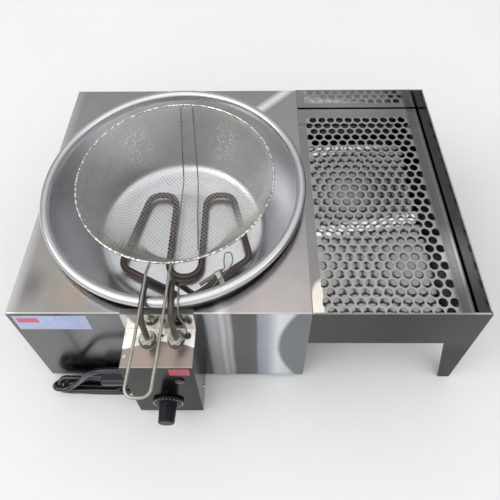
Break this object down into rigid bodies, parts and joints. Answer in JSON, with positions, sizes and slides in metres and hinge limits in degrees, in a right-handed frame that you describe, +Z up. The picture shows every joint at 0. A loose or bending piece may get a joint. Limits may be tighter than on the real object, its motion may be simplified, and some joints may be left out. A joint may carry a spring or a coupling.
{
  "type": "deep fryer",
  "caption": "Countertop electric deep fryer: square steel casing with a round lift-out pot, hooked-on immersion heater, wire basket and a perforated draining tray at its side.",
  "frame": {"origin": "middle of the whole object's footprint (without its cord) at table level", "axes": "+Z up, +Y from the control box towards the back, +X from the pot towards the draining tray"},
  "size_m": [0.6326, 0.536, 0.2702],
  "materials": {
    "casing_steel": "thin stainless sheet, softly polished, faint rolling grain and smears",
    "tray_steel": "thin stainless sheet, satin, slightly darker than the casing",
    "pan_steel": "polished stainless sheet",
    "pot_aluminium": "spun aluminium, satin, fine turning rings",
    "box_steel": "stainless sheet, satin, faint scratches",
    "bright_metal": "bright plated steel",
    "wire_steel": "drawn stainless wire, semi-bright",
    "mesh_steel": "woven stainless mesh",
    "element_steel": "heat-tinted stainless tube, brown grey, satin",
    "bulb_copper": "plated bulb and capillary, semi-bright",
    "rubber_black": "moulded rubber, matt",
    "gasket_green": "grey green fibre gasket, matt",
    "label_white": "blank printed label with colour blocks and grey bars",
    "label_red": "blank red sticker",
    "knob_black": "moulded phenolic, satin with pale dial ticks",
    "lamp_dark": "dark moulded bezel",
    "lamp_red": "red translucent lens",
    "terminal_cream": "moulded terminal block",
    "wire_insulation": "glass-braid insulation",
    "cord_black": "flexible black PVC sheath, soft sheen",
    "plug_brass": "turned brass pins"
  },
  "bodies": {
    "casing": {"casing_wrap": "casing_steel", "casing_left_panel": "casing_steel", "casing_right_panel": "casing_steel", "feet": "rubber_black", "foot_screws": "bright_metal", "rating_label": "label_white", "tray_front_apron": "tray_steel", "tray_back_apron": "tray_steel", "tray_right_apron": "tray_steel", "tray_left_wall": "tray_steel", "tray_bolts": "bright_metal", "tray_nuts": "bright_metal"},
    "pot": {"frying_pot": "pot_aluminium"},
    "heater_unit": {"control_back_plate": "box_steel", "control_shell": "box_steel", "control_front_panel": "box_steel", "cover_screws": "bright_metal", "voltage_label": "label_red", "element_gaskets": "gasket_green", "element_nuts": "bright_metal", "element_lock_nuts": "bright_metal", "element_bushings": "bright_metal", "element_leg_left": "element_steel", "element_leg_right": "element_steel", "heating_element": "element_steel", "thermostat_bulb": "bulb_copper", "bulb_clip": "bright_metal", "bulb_clip_screw": "bright_metal", "capillary_tube": "bulb_copper", "capillary_grommet": "rubber_black", "thermostat_body": "bulb_copper", "lamp_bezel": "lamp_dark", "lamp_lens": "lamp_red", "terminal_block": "terminal_cream", "internal_wires": "wire_insulation", "strain_relief": "rubber_black", "power_cord": "cord_black", "cord_hank": "cord_black", "power_plug": "cord_black", "plug_pins": "plug_brass"},
    "knob": {"thermostat_knob": "knob_black", "thermostat_shaft": "bright_metal"},
    "basket": {"basket_ring": "wire_steel", "basket_mesh": "mesh_steel", "basket_patch": "mesh_steel", "basket_handle": "wire_steel"},
    "drip_pan": {"drip_pan": "pan_steel"},
    "insert": {"perforated_sheet": "tray_steel", "insert_frame": "tray_steel"}
  },
  "joints": [
    {"name": "pot_lift", "type": "slide", "parent": "casing", "child": "pot", "axis": [0, 0, 1], "range_m": [0, 0.2]},
    {"name": "heater_lift", "type": "slide", "parent": "pot", "child": "heater_unit", "axis": [0, -0.395, 0.9187], "range_m": [0, 0.25]},
    {"name": "basket_lift", "type": "slide", "parent": "heater_unit", "child": "basket", "axis": [0, 0, 1], "range_m": [0, 0.25]},
    {"name": "thermostat_turn", "type": "hinge", "parent": "heater_unit", "child": "knob", "pos_m": [-0.1178, -0.209, 0.058], "axis": [0, 1, 0], "range_deg": [0, 300]},
    {"name": "drip_pan_lift", "type": "slide", "parent": "casing", "child": "drip_pan", "axis": [0, 0, 1], "range_m": [0, 0.15]},
    {"name": "insert_lift", "type": "slide", "parent": "drip_pan", "child": "insert", "axis": [0, 0, 1], "range_m": [0, 0.15]}
  ]
}
